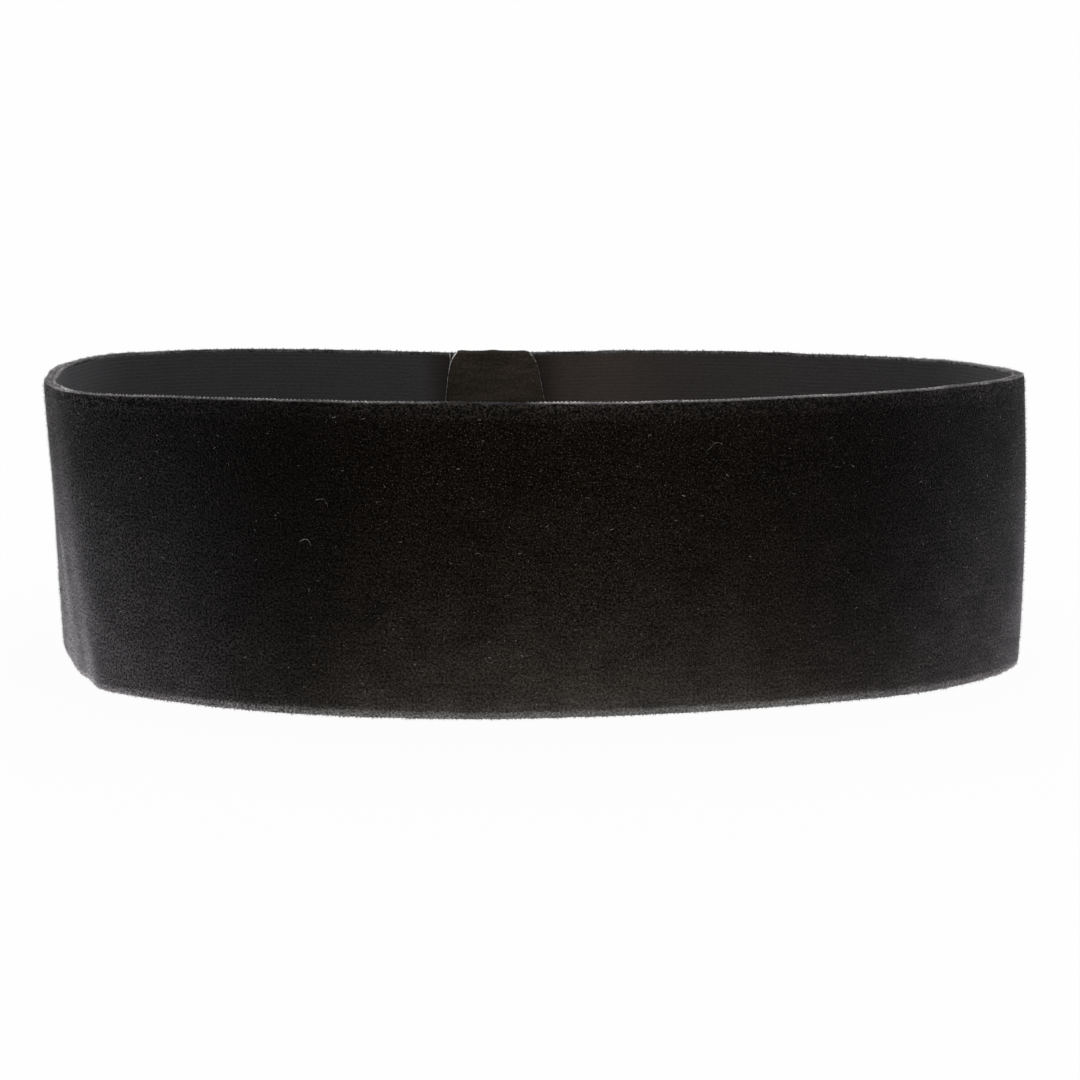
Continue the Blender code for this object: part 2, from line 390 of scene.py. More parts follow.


# Materials. Tables pair the share of the strip's height over the bottom rim, or the share of the way round
# from the join, with a colour or a number.

# By the share of the way round: colours of the ribbed inside. The dark stretches at both ends, next to the
# join, are painted shade of the ribbon that stands over the ribs there
WEAVE_COLOURS = [
    (0.0, (0.021, 0.018, 0.016)),
    (0.023, (0.021, 0.018, 0.016)),
    (0.03, (0.034, 0.032, 0.033)),
    (0.15, (0.034, 0.0325, 0.0335)),
    (0.2, (0.042, 0.041, 0.043)),
    (0.7, (0.07, 0.068, 0.07)),
    (0.77, (0.055, 0.053, 0.055)),
    (0.8, (0.038, 0.036, 0.037)),
    (0.92, (0.034, 0.030, 0.028)),
    (0.95, (0.045, 0.036, 0.031)),
    (0.97, (0.038, 0.029, 0.026)),
    (0.978, (0.021, 0.017, 0.015)),
    (1.0, (0.021, 0.017, 0.015)),
]
# By height: colours of the velvet seen face on. They grow paler towards the bottom rim: this is painted
# light, which falls brighter on the lower part of the velvet.
NAP_COLOURS = [
    (0.0, (0.135, 0.132, 0.129)),
    (0.018, (0.098, 0.095, 0.092)),
    (0.028, (0.036, 0.032, 0.029)),
    (0.06, (0.028, 0.024, 0.021)),
    (0.1, (0.023, 0.0195, 0.0165)),
    (0.25, (0.014, 0.0115, 0.0095)),
    (0.45, (0.0075, 0.0056, 0.0042)),
    (0.8, (0.0038, 0.0024, 0.0014)),
    (0.94, (0.0045, 0.0030, 0.0020)),
    (0.96, (0.0090, 0.0072, 0.0058)),
    (1.0, (0.0150, 0.0130, 0.0115)),
]
# By height: painted sheen, which is added to the colour where the velvet is seen along its face, and which
# is brighter towards the bottom rim
GRAZING_COLOURS = [
    (0.0, (0.132, 0.127, 0.135)),
    (0.2, (0.126, 0.121, 0.129)),
    (0.45, (0.112, 0.107, 0.115)),
    (0.65, (0.068, 0.065, 0.069)),
    (0.85, (0.0355, 0.0338, 0.0352)),
    (1.0, (0.0330, 0.0315, 0.0327)),
]
# By height: colours of the ribbon's velvet
RIBBON_COLOURS = [
    (0.0, (0.024, 0.020, 0.016)),
    (0.8, (0.020, 0.016, 0.012)),
    (1.0, (0.026, 0.021, 0.017)),
]
# By the share of the way round: how much painted light pales or darkens the nap, how warm its colour, how
# much painted sheen it shows where it is seen along its face, and how rough its tufts look
PAINTED_LIGHT_BY_WAY = [
    (0.0, 0.9), (0.33, 1.2), (0.36, 0.9), (0.385, 0.5), (0.416, 0.45), (0.45, 0.85), (0.53, 1.15),
    (0.6, 0.75), (0.632, 0.6), (0.7, 1.1), (1.0, 0.9),
]
WARMTH = [
    (0.0, 0.2), (0.34, 0.05), (0.37, 0.4), (0.42, 1.0), (0.6, 1.0), (0.66, 0.4), (0.7, 0.1), (1.0, 0.2),
]
GRAZED = [
    (0.0, 0.3), (0.2, 0.8), (0.28, 1.0), (0.35, 1.0), (0.38, 0.7), (0.42, 0.4), (0.5, 0.25), (0.62, 0.18),
    (0.7, 0.38), (0.75, 0.7), (1.0, 0.3),
]
ROUGHENED = [
    (0.0, 1.0), (0.25, 1.15), (0.33, 1.3), (0.39, 1.4), (0.44, 1.0), (0.5, 0.9), (0.66, 0.9), (1.0, 1.0),
]
# By the share of the way round: how pale the rolled rims, the edge cords and the pile's fibres are. This
# change round the way is painted light and shade: painted sheen where they grow paler, and painted shade
# where the rims and cords darken in the middle of the front, across from the ribbon
RIM_PALENESS = [
    (0.0, 0.5), (0.12, 0.8), (0.2, 1.9), (0.33, 1.8), (0.4, 1.3), (0.462, 1.3), (0.47, 0.3), (0.5, 0.3),
    (0.508, 1.8), (0.6, 1.7), (0.66, 1.3), (0.7, 1.4), (0.76, 2.1), (0.8, 1.8), (0.85, 1.1), (0.9, 0.7),
    (1.0, 0.5),
]
CORD_PALENESS = [
    (0.0, 0.35), (0.12, 0.4), (0.21, 0.6), (0.25, 1.7), (0.33, 1.6), (0.4, 1.4), (0.462, 1.4), (0.47, 0.3),
    (0.5, 0.3), (0.508, 2.1), (0.6, 1.9), (0.66, 1.4), (0.72, 1.1), (0.76, 0.6), (0.85, 0.45), (1.0, 0.35),
]
FIBRE_PALENESS = [
    (0.0, 0.05), (0.15, 0.06), (0.22, 0.16), (0.32, 0.16), (0.36, 0.04), (0.42, 0.024), (0.6, 0.024),
    (0.66, 0.05), (0.72, 0.12), (0.77, 0.12), (0.82, 0.06), (1.0, 0.05),
]
# How pale the ribbon's edge yarn is: a painted highlight on one edge of the ribbon, which the other edge
# lacks
RIBBON_EDGE_HIGHLIGHT = [(0.0, 0.10), (0.005, 0.10), (0.01, 0.4), (1.0, 0.4)]
EVEN = [(0.0, 1.0), (1.0, 1.0)]
# Painted shade of a broken crease under the top rim: how dark it is by height, and then by the share
# of the way round
CREASE = [(0.955, 0.0), (0.968, 1.0), (0.98, 1.0), (0.99, 0.0)]
CREASED = [(0.0, 0.3), (0.15, 0.3), (0.22, 1.0), (0.35, 1.0), (0.4, 0.3), (1.0, 0.3)]

# A velvet: its colours by height, three tables by the way round as above, the tint of its sheen, how strong
# its glints are, how rough its tufts look by height, and whether its edges roll over the strip's rims
Nap = namedtuple("Nap", "colours brushed warmth grazed sheen glints roughness rolls_over_rims")
BAND_NAP = Nap(
    colours=NAP_COLOURS,
    brushed=PAINTED_LIGHT_BY_WAY,
    warmth=WARMTH,
    grazed=GRAZED,
    sheen=(0.036, 0.037, 0.041),
    glints=1.5,
    roughness=[(0.0, 0.55), (0.2, 0.7), (0.5, 0.95), (1.0, 1.05)],
    rolls_over_rims=True,
)
RIBBON_NAP = Nap(
    colours=RIBBON_COLOURS,
    brushed=EVEN,
    warmth=EVEN,
    grazed=[(0.0, 0.1), (1.0, 0.1)],
    sheen=(0.02, 0.018, 0.016),
    glints=0.2,
    roughness=[(0.0, 0.3), (1.0, 0.3)],
    rolls_over_rims=False,
)
COOL_GREY = (1.05, 0.945, 1.01)
RIM_FUZZ_COLOUR = (0.135, 0.130, 0.132)
GLINT_COLOUR = (0.034, 0.031, 0.029)
# What is left of the colour on the outside of the ribbon, and of its edge yarn, whose paler inside holds a
# painted highlight
RIBBON_DULLNESS = 0.35
RIBBON_YARN_DULLNESS = 0.1
# How fast the light on the nap grows towards a grazing view, and how strong its narrow part at the very
# edge is
BROAD_POWER = 1.6
EDGE_POWER = 5.0
EDGE_LIGHT = 1.9
# The range of the pile's shade, and the values that it turns into as a factor of that light
MOTTLE = (0.2, 2.0, 0.4, 1.9)
# How dark the gaps between tufts get at most
LEAST_TUFT = 0.02
# How rough the surfaces are, how much they mirror, and how high their bumps are
PILE_ROUGHNESS = 0.9
WEAVE_ROUGHNESS = 0.75
YARN_ROUGHNESS = 0.6
SPECULAR_LEVEL = 0.03
NAP_BUMP = 0.12 * MM
THREAD_BUMP = 0.05 * MM
YARN_BUMP = 0.03 * MM

# Noise in the materials: how many bumps to the millimetre (in GRAIN, to the metre), in how much detail, and
# which range of it turns into which values
Noise = namedtuple("Noise", "scale detail low high to_low to_high")
TUFTS = Noise(2.3, 1.0, 0.36, 0.68, -0.95, 1.25)
CLUMPS = Noise(1.0, 2.0, 0.35, 0.65, -0.55, 0.65)
CLOUDS = Noise(0.12, 2.0, 0.3, 0.7, 0.75, 1.25)
ROWS = Noise(1.3, 2.0, 0.35, 0.65, 0.82, 1.18)
DASHES = Noise(0.9, 2.0, 0.4, 0.5, 0.0, 0.92)
GLINTS = Noise(3.7, 0.0, 0.66, 0.8, 0.0, 1.0)
CLOTS = Noise(1.3, 1.5, 0.35, 0.65, 0.45, 1.55)
THREADS = Noise(3.0, 2.0, 0.3, 0.7, 0.7, 1.3)
YARN_FIBRES = Noise(1.6, 2.0, 0.35, 0.65, 0.3, 1.8)
YARN_PATCHES = Noise(0.12, 2.0, 0.35, 0.65, 0.6, 1.4)
GRAIN = Noise(4000.0, 2.0, 0.3, 0.7, 0.8, 1.2)
# The share that the distance shrinks to, which draws the rows and the dashes out along the strip
ROW_SQUEEZE = 0.12
DASH_SQUEEZE = 0.5
# Heights and depths in millimetres between which an effect sets in
PAINTED_LIGHT_FROM = (1.2, 2.5)
CLUMPED_FROM = (54, 58)
FUZZY_FROM = (0.12, 0.6)


class Look:
    """A material with short ways to add nodes to it. A value is a socket, or a number or colour."""

    def __init__(self, name, roughness):
        self.material = bpy.data.materials.new(name)
        self.material.use_nodes = True
        self.nodes = self.material.node_tree.nodes
        self.links = self.material.node_tree.links
        self.shader = self.nodes["Principled BSDF"]
        self.shader.inputs["Roughness"].default_value = roughness
        self.shader.inputs["Specular IOR Level"].default_value = SPECULAR_LEVEL

    def feed(self, socket, value):
        if isinstance(value, bpy.types.NodeSocket):
            self.links.new(value, socket)
        else:
            socket.default_value = value

    def node(self, kind, *values, **settings):
        """Add a node with these settings, and feed its first inputs with the values."""
        made = self.nodes.new(f"ShaderNode{kind}")
        for setting, value in settings.items():
            setattr(made, setting, value)
        for socket, value in zip(made.inputs, values):
            self.feed(socket, value)
        return made

    def read_cloth(self):
        """Read the cloth coordinates in millimetres, and the share of the way round."""
        read = self.node("Attribute", attribute_name="cloth")
        self.cloth = self.tint(read.outputs["Vector"], 1 / MM)
        split = self.node("SeparateXYZ", self.cloth)
        self.distance, self.height, self.depth = split.outputs
        self.way = self.math("DIVIDE", self.distance, strip.length / MM)

    def squeezed(self, share):
        """Return the cloth coordinates with the distance shrunk to this share, so that noise forms rows."""
        return self.node("VectorMath", self.cloth, (share, 1, 1), operation="MULTIPLY").outputs[0]

    def math(self, operation, first, second):
        return self.node("Math", first, second, operation=operation).outputs[0]

    def plus(self, first, second):
        return self.math("ADD", first, second)

    def times(self, value, *others):
        """Return the product of two or more values."""
        for other in others:
            value = self.math("MULTIPLY", value, other)
        return value

    def spread(self, value, low, high, to_low, to_high):
        """Return the value's range from low to high turned into to_low to to_high, and held there."""
        return self.node("MapRange", value, low, high, to_low, to_high).outputs[0]

    def noise(self, vector, kind):
        made = self.node("TexNoise")
        self.feed(made.inputs["Vector"], vector)
        self.feed(made.inputs["Scale"], kind.scale)
        self.feed(made.inputs["Detail"], kind.detail)
        return self.spread(made.outputs["Fac"], *kind[2:])

    def ramp(self, value, stops):
        """Return the colour that the stops, pairs of a place and a colour, give for the value."""
        made = self.node("ValToRGB", value)
        band = made.color_ramp
        band.interpolation = "LINEAR"
        while len(band.elements) < len(stops):
            band.elements.new(0.5)
        for element, (place, colour) in zip(band.elements, stops):
            element.position = place
            element.color = (*colour, 1)
        return made.outputs[0]

    def curve(self, value, stops):
        """Return the number that the stops, pairs of a place and a number, give for the value."""
        most = max(number for place, number in stops)
        greys = [(place, (number / most,) * 3) for place, number in stops]
        return self.times(self.ramp(value, greys), most)

    def tint(self, colour, value):
        """Return the colour times the value."""
        made = self.node("VectorMath", colour, operation="SCALE")
        self.feed(made.inputs["Scale"], value)
        return made.outputs[0]

    def add(self, first, second):
        """Return the sum of two colours."""
        return self.node("VectorMath", first, second, operation="ADD").outputs[0]

    def mix(self, factor, first, second):
        """Return the first colour where the factor is 0, passing into the second where it is 1."""
        made = self.node("Mix", factor, data_type="VECTOR")
        self.feed(made.inputs[4], first)
        self.feed(made.inputs[5], second)
        return made.outputs[1]

    def dull_outside(self, dullness):
        """Return what is left of the colour by depth: this share outside, and all of it inside."""
        return self.spread(self.depth, 0.0, STRIP_THICKNESS / MM, dullness, 1.0)

    def cover(self, colour, relief=None, height=0):
        """Give the surface its colour, and a bump of this height where relief is a value."""
        self.feed(self.shader.inputs["Base Color"], colour)
        if relief is not None:
            made = self.node("Bump")
            self.feed(made.inputs["Distance"], height)
            self.feed(made.inputs["Height"], relief)
            self.feed(self.shader.inputs["Normal"], made.outputs[0])

    def give_sheen(self, weight, roughness, colour):
        self.shader.inputs["Sheen Weight"].default_value = weight
        self.shader.inputs["Sheen Roughness"].default_value = roughness
        self.shader.inputs["Sheen Tint"].default_value = (*colour, 1)


def tufts_of(look, share, roughness):
    """Return the pile's tufts about 1, as rough as the numbers by height in roughness say."""
    rough = look.times(look.curve(share, roughness), look.curve(look.way, ROUGHENED))
    tufts = look.plus(look.times(look.noise(look.cloth, TUFTS), rough), 1.0)
    return look.math("MAXIMUM", tufts, LEAST_TUFT)


def clumps_of(look):
    """Return the larger clumps of the pile just under the top rim, about 1."""
    near_rim = look.spread(look.height, *CLUMPED_FROM, 0.0, 1.0)
    return look.plus(look.times(look.noise(look.cloth, CLUMPS), near_rim), 1.0)


def crease_shade_of(look, share):
    """Return what the painted crease shade under the top rim leaves of the colour, 1 where there is none."""
    dashes = look.noise(look.squeezed(DASH_SQUEEZE), DASHES)
    crease_shade = look.times(dashes, look.curve(share, CREASE), look.curve(look.way, CREASED))
    return look.math("SUBTRACT", 1.0, crease_shade)


def painted_light_of(look, brushed):
    """Return the painted light that pales or darkens the nap, about 1. It fades out at the bottom rim."""
    painted_light = look.math("SUBTRACT", look.curve(look.way, brushed), 1.0)
    above_rim = look.spread(look.height, *PAINTED_LIGHT_FROM, 0.0, 1.0)
    return look.plus(look.times(painted_light, above_rim), 1.0)


def nap_colour(look, share, nap):
    """Return the colour of the nap seen face on, cooled to grey where it isn't warm."""
    colour = look.ramp(share, nap.colours)
    grey = look.node("RGBToBW", colour).outputs[0]
    return look.mix(look.curve(look.way, nap.warmth), look.tint(COOL_GREY, grey), colour)


def rim_fuzz(look, colour):
    """Return the colour passing into paler, clotted fuzz where the pile has rolled over a rim."""
    # How pale the fuzz is round the way is painted light and shade
    clots = look.times(look.noise(look.cloth, CLOTS), look.curve(look.way, RIM_PALENESS))
    rolled = look.spread(look.depth, *FUZZY_FROM, 0.0, 1.0)
    return look.mix(rolled, colour, look.tint(RIM_FUZZ_COLOUR, clots))


def grazing_light(look, share, shade, grazed):
    """Return the light that the nap adds where it is seen along its face."""
    facing = look.node("LayerWeight").outputs["Facing"]
    broad = look.math("POWER", facing, BROAD_POWER)
    edge = look.times(look.math("POWER", facing, EDGE_POWER), EDGE_LIGHT)
    mottle = look.spread(shade, *MOTTLE)
    light = look.times(look.plus(broad, edge), look.curve(look.way, grazed), mottle)
    return look.tint(look.ramp(share, GRAZING_COLOURS), light)


def velvet(name, nap):
    look = Look(name, PILE_ROUGHNESS)
    look.read_cloth()
    share = look.math("DIVIDE", look.height, HEIGHT / MM)
    tufts = tufts_of(look, share, nap.roughness)
    rows = look.noise(look.squeezed(ROW_SQUEEZE), ROWS)
    shade = look.times(tufts, look.noise(look.cloth, CLOUDS), rows)
    if nap.rolls_over_rims:
        # The broken crease under the top rim is painted shade
        shade = look.times(shade, clumps_of(look), crease_shade_of(look, share))
    else:
        shade = look.times(shade, look.dull_outside(RIBBON_DULLNESS))
    # Painted light round the way, which pales or darkens the nap
    painted_light = painted_light_of(look, nap.brushed)
    colour = look.tint(nap_colour(look, share, nap), look.times(shade, painted_light))
    if nap.rolls_over_rims:
        colour = rim_fuzz(look, colour)
    # Painted sheen, added to the colour where the velvet is seen along its face
    colour = look.add(colour, grazing_light(look, share, shade, nap.grazed))
    points = look.times(look.noise(look.cloth, GLINTS._replace(to_high=nap.glints)), painted_light)
    look.cover(look.add(colour, look.tint(GLINT_COLOUR, points)), tufts, NAP_BUMP)
    look.give_sheen(1.0, 0.35, nap.sheen)
    return look.material


def weave(name):
    look = Look(name, WEAVE_ROUGHNESS)
    look.read_cloth()
    threads = look.noise(look.cloth, THREADS)
    look.cover(look.tint(look.ramp(look.way, WEAVE_COLOURS), threads), threads, THREAD_BUMP)
    look.give_sheen(0.3, 0.5, (0.3, 0.3, 0.32))
    return look.material


def yarn(name, colour, paleness, dullness=1.0):
    """Make a yarn of this colour times the numbers by the share of the way round in paleness."""
    look = Look(name, YARN_ROUGHNESS)
    look.read_cloth()
    fibres = look.noise(look.cloth, YARN_FIBRES)
    shade = look.times(fibres, look.noise(look.cloth, YARN_PATCHES), look.curve(look.way, paleness))
    shade = look.times(shade, look.dull_outside(dullness))
    look.cover(look.tint(colour, shade), fibres, YARN_BUMP)
    return look.material


def plain(name, colour, roughness):
    look = Look(name, roughness)
    place = look.node("TexCoord").outputs["Object"]
    look.cover(look.tint(colour, look.noise(place, GRAIN)))
    return look.material


pile_velvet = velvet("Black velvet", BAND_NAP)
ribbon_velvet = velvet("Ribbon velvet", RIBBON_NAP)
rib_weave = weave("Charcoal elastic weave")
edge_yarn = yarn("Grey edge yarn", (0.19, 0.184, 0.184), CORD_PALENESS)
# The ribbon's pale edge yarn is a painted highlight on the inside of one of its edges
ribbon_yarn = yarn("Ribbon edge yarn", (1.0, 0.99, 0.97), RIBBON_EDGE_HIGHLIGHT, RIBBON_YARN_DULLNESS)
fibre = yarn("Pile fibre", (1.0, 0.95, 0.93), FIBRE_PALENESS)
rim_fibre = yarn("Rim fibre", (0.16, 0.155, 0.157), RIM_PALENESS)
lower_fibre = yarn("Lower rim fibre", (0.17, 0.165, 0.16), EVEN)
lint_fibre = yarn("Lint", (0.22, 0.21, 0.2), EVEN)
rubber = plain("Black rubber", (0.02, 0.02, 0.02), 0.6)
thread = plain("Black thread", (0.02, 0.02, 0.021), 0.7)

# The strip


def rims(distance):
    """Return the heights of the bottom and top rims at these distances, with their small waves."""
    low, high = strip.rims(distance)
    wave = bumps(distance, 0 * distance, RIM_WAVE)
    sag = SAG_DEPTH * np.exp(-(((distance - SAG_SHARE * strip.length) / SAG_WIDTH) ** 2))
    return low + BOTTOM_WAVE_SHARE * wave, high + wave - sag


def roll(rim, side):
    """Return a pile edge that turns in over a rim: side is 1 at the top rim and -1 at the bottom one."""
    inner = RIM_ROLL_DEPTH - RIM_ROLL_CORNER
    out, up = arc(180, 90, TURN_ROWS)
    far_out, far_up = arc(90, 0, TURN_ROWS)
    sink = np.concatenate([RIM_ROLL_CORNER * (1 - up), inner * (1 - far_up[1:])])
    depth = np.concatenate([RIM_ROLL_CORNER * (1 + out), RIM_ROLL_CORNER + inner * far_out[1:]])
    return rim - side * sink, depth + 0 * rim


def pile_section(distance):
    """Return the section of the pile face: outside face, top edge, hidden face, bottom edge."""
    low, high = rims(distance)
    top_height, top_depth = roll(high, 1)
    bottom_height, bottom_depth = roll(low, -1)
    face = high - low - 2 * RIM_ROLL_CORNER
    outside = low + RIM_ROLL_CORNER + np.linspace(0, 1, PILE_ROWS) * face
    swell = bumps(distance, outside, PILE_SWELL) + bumps(distance, outside, PILE_DIMPLES)
    lumps = bumps(distance, np.arange(2 * TURN_ROWS - 1) * MM, RIM_LUMPS)
    back = high - low - 2 * RIM_ROLL_HEIGHT
    hidden = low + RIM_ROLL_HEIGHT + np.linspace(1, 0, HIDDEN_ROWS) * back
    heights = [outside, (top_height + lumps)[:, 1:], hidden, (bottom_height - lumps)[:, :0:-1]]
    depths = [-swell, top_depth[:, 1:], PILE_THICKNESS + 0 * hidden, bottom_depth[:, :0:-1]]
    return np.hstack(heights), np.hstack(depths)


def rib_section(distance):
    """Return the section of the backing: ribbed inside face, top edge, hidden face, bottom edge."""
    low, high = rims(distance)
    low, high = low + WEAVE_SINK, high - WEAVE_SINK
    count = round((HEIGHT - 2 * WEAVE_SINK) / RIB_PITCH)
    phase = np.arange(4 * count + 1) / 4
    ribs = high - phase / count * (high - low)
    crest = RIB_RELIEF * (0.5 - 0.5 * np.cos(2 * np.pi * phase))
    crest = crest * (1 + bumps(distance, ribs, RIB_UNEVENNESS))
    face = STRIP_THICKNESS - RIB_RELIEF + crest
    hidden = low + np.linspace(0, 1, HIDDEN_ROWS) * (high - low)
    behind = STRIP_THICKNESS - WEAVE_THICKNESS + 0 * hidden
    return np.hstack([ribs, hidden]), np.hstack([face, behind])


def top_cord(distances):
    return rims(distances)[1] - CORD_SINK, CORD_DEPTH + 0 * distances


def bottom_cord(distances):
    return rims(distances)[0] + CORD_SINK, CORD_DEPTH + 0 * distances


def strand_line(number):
    """Return the line of a rubber strand, with number 1 at the bottom rim."""
    distances = strip.along(STRAND_STEP)
    low, high = rims(distances)
    height = low + number / (STRAND_COUNT + 1) * (high - low)
    return np.stack([distances, height, STRAND_DEPTH + 0 * height], axis=-1)


velvet_band = strip_skin("velvet_band", strip.along(PILE_STEP), pile_section, pile_velvet)
follow_strip(velvet_band, "velvet", *[f"pile_face_{stretch}" for stretch in STRETCHES])

ribbed_backing = strip_skin("ribbed_backing", strip.along(BACKING_STEP), rib_section, rib_weave)
follow_strip(ribbed_backing, "weave", *[f"elastic_weave_{stretch}" for stretch in STRETCHES])

for side, centre in (("top", top_cord), ("bottom", bottom_cord)):
    plies = twisted(centre, CORD_PLY_OFFSET, CORD_PITCH, CORD_PLIES)
    cord = tubes(f"{side}_selvedge_cord", plies, CORD_PLY_RADIUS, CORD_SIDES, edge_yarn)
    follow_strip(cord, "weave", f"{side}_selvedge")

strand_numbers = range(1, STRAND_COUNT + 1)
strand_lines = [strand_line(number) for number in strand_numbers]
strands = tubes("rubber_strands", strand_lines, STRAND_DIAMETER / 2, STRAND_SIDES, rubber)
follow_strip(strands, "rubber", *[f"rubber_strand_{number}" for number in strand_numbers])

# Fibres and lint


def fibre_tips(roots, outward, length):
    """Return the tips of fibres that lean about the outward direction, given as (height, depth)."""
    lean = chance.normal(size=roots.shape) * FIBRE_SCATTER
    lean[:, 1:] += outward
    lean /= np.linalg.norm(lean, axis=1)[:, None]
    return roots + lean * length[:, None]


def face_fibres():
    """Return roots and tips on the outside face, with more where the pile opens round the two turns."""
    share = chance.uniform(*PILE_FIBRE_SHARES, PILE_FIBRES)
    turn = chance.choice(TURN_SHARES, PILE_FIBRES) + chance.normal(size=PILE_FIBRES) * TURN_SPREAD
    distance = np.where(chance.uniform(size=PILE_FIBRES) < SHARE_AT_TURNS, turn, share) * strip.length
    low, high = rims(distance)
    height = low + (high - low) * chance.uniform(*PILE_FIBRE_HEIGHTS, PILE_FIBRES)
    roots = np.stack([distance, height, np.full(PILE_FIBRES, PILE_FIBRE_DEPTH)], axis=-1)
    length = chance.uniform(*PILE_FIBRE_LENGTH_MM, PILE_FIBRES) * MM
    return roots, fibre_tips(roots, PILE_FIBRE_LEAN, length)


def rim_fibres(side):
    """Return roots and tips along one rim: side is 1 at the top rim and -1 at the bottom one."""
    tufts = int(strip.length / RIM_TUFT_PITCH)
    tuft = chance.integers(1, tufts - 1, RIM_FIBRES)
    size = chance.uniform(*RIM_TUFT_SIZE, tufts)[tuft]
    distance = (tuft + 0.5) * RIM_TUFT_PITCH + chance.normal(size=RIM_FIBRES) * RIM_TUFT_SPREAD
    rim = rims(distance)[1 if side > 0 else 0]
    across = chance.uniform(*RIM_FIBRE_PLACES, RIM_FIBRES)
    sink = ROOT_SINK + ROLL_DROP * np.clip(across - ROLL_FLAT, 0, 1) ** 3
    roots = np.stack([distance, rim - side * sink, across * RIM_ROLL_DEPTH], axis=-1)
    length = chance.uniform(*RIM_FIBRE_LENGTH_MM, RIM_FIBRES) * size * MM
    return roots, fibre_tips(roots, (RIM_FIBRE_LEAN * side, 0), length)


def lint_line(kind):
    """Return one fibre that lies on the pile, as a line of cloth coordinates."""
    distance = chance.uniform(*LINT_SHARES) * strip.length
    height = HEIGHT * chance.uniform(*LINT_HEIGHTS)
    step = chance.uniform(*kind.length_mm) * MM / (kind.points - 1)
    bend = chance.uniform(-kind.bend, kind.bend)
    turn = chance.uniform(0, 2 * np.pi) + np.linspace(0, bend, kind.points)
    turn += np.cumsum(chance.normal(size=kind.points)) * LINT_KINK
    distances = distance + np.cumsum(step * np.cos(turn))
    heights = np.clip(height + np.cumsum(step * np.sin(turn)), MM, HEIGHT - 2 * MM)
    depths = LINT_DIP * np.sin(np.linspace(0, 3, kind.points)) - LINT_LIFT
    return np.stack([distances, heights, depths], axis=-1)


pile_fuzz = spikes("pile_fuzz", *face_fibres(), PILE_FIBRE_RADIUS, fibre)
top_fuzz = spikes("top_rim_fuzz", *rim_fibres(1), RIM_FIBRE_RADIUS, rim_fibre)
bottom_fuzz = spikes("bottom_rim_fuzz", *rim_fibres(-1), RIM_FIBRE_RADIUS, lower_fibre)
for fuzz in (pile_fuzz, top_fuzz, bottom_fuzz):
    follow_strip(fuzz, "velvet")

lint_lines = [lint_line(kind) for kind in LINT_KINDS for number in range(kind.count)]
lint = tubes("lint", lint_lines, LINT_RADIUS, LINT_SIDES, lint_fibre)
follow_strip(lint, "velvet")

# The join: a ribbon of the same velvet round the strip, gathered at the rims


def straight(start, end, depth, count):
    """Return points from one height to another at one depth, as (height, depth)."""
    return np.stack([np.linspace(start, end, count), np.full(count, depth)], axis=-1)


def corner(height, depth, first):
    """Return points on a quarter turn about this height and depth, from this angle on."""
    cos, sin = arc(first, first + 90, 7)
    return np.stack([height + WRAP_CORNER_RADIUS * sin, depth + WRAP_CORNER_RADIUS * cos], axis=-1)


def wrap_path():
    """Return the ribbon's middle line round the strip and its outward normals, as (height, depth)."""
    outside = -(WRAP_CLEARANCE + WRAP_THICKNESS / 2)
    inside = STRIP_THICKNESS + WRAP_CLEARANCE + WRAP_THICKNESS / 2
    near, far = outside + WRAP_CORNER_RADIUS, inside - WRAP_CORNER_RADIUS
    low = WRAP_THICKNESS / 2 + WRAP_CORNER_RADIUS
    high = HEIGHT + WRAP_RISE - WRAP_THICKNESS / 2 - WRAP_CORNER_RADIUS
    runs = [
        straight(WRAP_SEAM_HEIGHT + WRAP_SEAM_GAP / 2, high, inside, 90),
        corner(high, far, 0),
        corner(high, near, 90),
        straight(high, low, outside, 50),
        corner(low, near, 180),
        corner(low, far, 270),
        straight(low, WRAP_SEAM_HEIGHT - WRAP_SEAM_GAP / 2, inside, 16),
    ]
    path = np.vstack([runs[0], *[run[1:] for run in runs[1:]]])
    ahead = np.gradient(path, axis=0)
    normal = np.stack([-ahead[:, 1], ahead[:, 0]], axis=-1)
    return path, normal / np.linalg.norm(normal, axis=1)[:, None]


def wrap_half_width(height):
    """Return half the ribbon's width, which is fullest in the middle and gathered at the rims."""
    fullness = np.sin(np.pi * np.clip(height / HEIGHT, 0, 1))
    to_rim = np.clip(np.minimum(height, HEIGHT - height), 0, None)
    gathered = WRAP_GATHER * np.exp(-to_rim / WRAP_GATHER_REACH)
    return (WRAP_WIDTH_AT_RIM + (WRAP_WIDTH_AT_MIDDLE - WRAP_WIDTH_AT_RIM) * fullness) / 2 - gathered


def wrap_lean(height):
    """Return how far the ribbon's middle stands to the right of the join, seen from inside."""
    return WRAP_LEAN * np.sin(np.pi * np.clip(height / HEIGHT, 0, 1))


